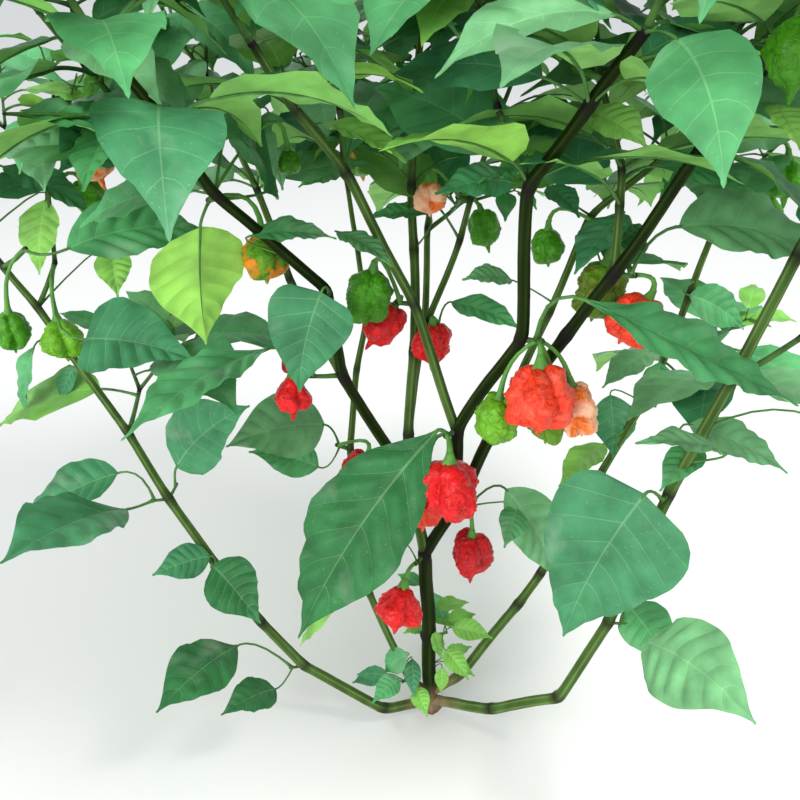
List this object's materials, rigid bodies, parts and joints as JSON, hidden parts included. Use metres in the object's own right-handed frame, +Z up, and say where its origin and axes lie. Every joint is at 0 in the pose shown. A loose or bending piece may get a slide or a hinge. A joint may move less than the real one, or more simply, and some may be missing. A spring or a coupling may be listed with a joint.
{
  "type": "chilli pepper plant",
  "caption": "Branching chilli pepper plant with bare forking stems, broad leaves and wrinkled hanging lantern fruit, cut flat at ground level.",
  "frame": {"origin": "middle of the flat cut under the trunk, at ground level", "axes": "+Z straight up; +X to the right and -Y towards the viewer of the picture"},
  "size_m": [0.8167, 0.5491, 0.6772],
  "materials": {
    "stem": "matte green bark with pale ridges",
    "foliage": "satin leaves"
  },
  "bodies": {
    "root": {"back_bough": "stem", "back_centre_bough": "stem", "back_centre_spray": "foliage", "back_knot_spray": "foliage", "back_left_bough": "stem", "back_left_mass": "foliage", "back_low_mass": "foliage", "back_mass": "foliage", "centre_bough": "stem", "centre_spray": "foliage", "foot_left_shoot": "foliage", "foot_right_shoot": "foliage", "fork_fruit_spray": "foliage", "front_left_mass": "foliage", "front_right_mass": "foliage", "left_bough": "stem", "left_crook_spray": "foliage", "left_knot_spray": "foliage", "left_lantern_spray": "foliage", "left_leader": "stem", "left_mass": "foliage", "left_twig_spray": "foliage", "low_left_foot_spray": "foliage", "low_left_inner_spray": "foliage", "low_left_knee_spray": "foliage", "low_left_outer_spray": "foliage", "low_left_stem": "stem", "low_left_twig_spray": "foliage", "low_right_back_stem": "stem", "low_right_foot_spray": "foliage", "low_right_front_stem": "stem", "low_right_knee_spray": "foliage", "lower_right_spray": "foliage", "middle_bough": "stem", "outer_left_fork_mass": "foliage", "outer_left_low_mass": "foliage", "outer_left_mass": "foliage", "outer_right_back_mass": "foliage", "outer_right_low_mass": "foliage", "outer_right_mass": "foliage", "right_back_bough": "stem", "right_back_mass": "foliage", "right_back_spray": "foliage", "right_fork": "stem", "right_fork_mass": "foliage", "right_knot_spray": "foliage", "right_leader": "stem", "right_low_back_mass": "foliage", "right_mass": "foliage", "right_spray": "foliage", "thin_left_mass": "foliage", "thin_left_spray": "foliage", "thin_left_stem": "stem", "top_back_left_mass": "foliage", "top_back_mass": "foliage", "top_centre_mass": "foliage", "top_front_mass": "foliage", "top_left_mass": "foliage", "top_middle_mass": "foliage", "trunk": "stem"}
  },
  "joints": []
}
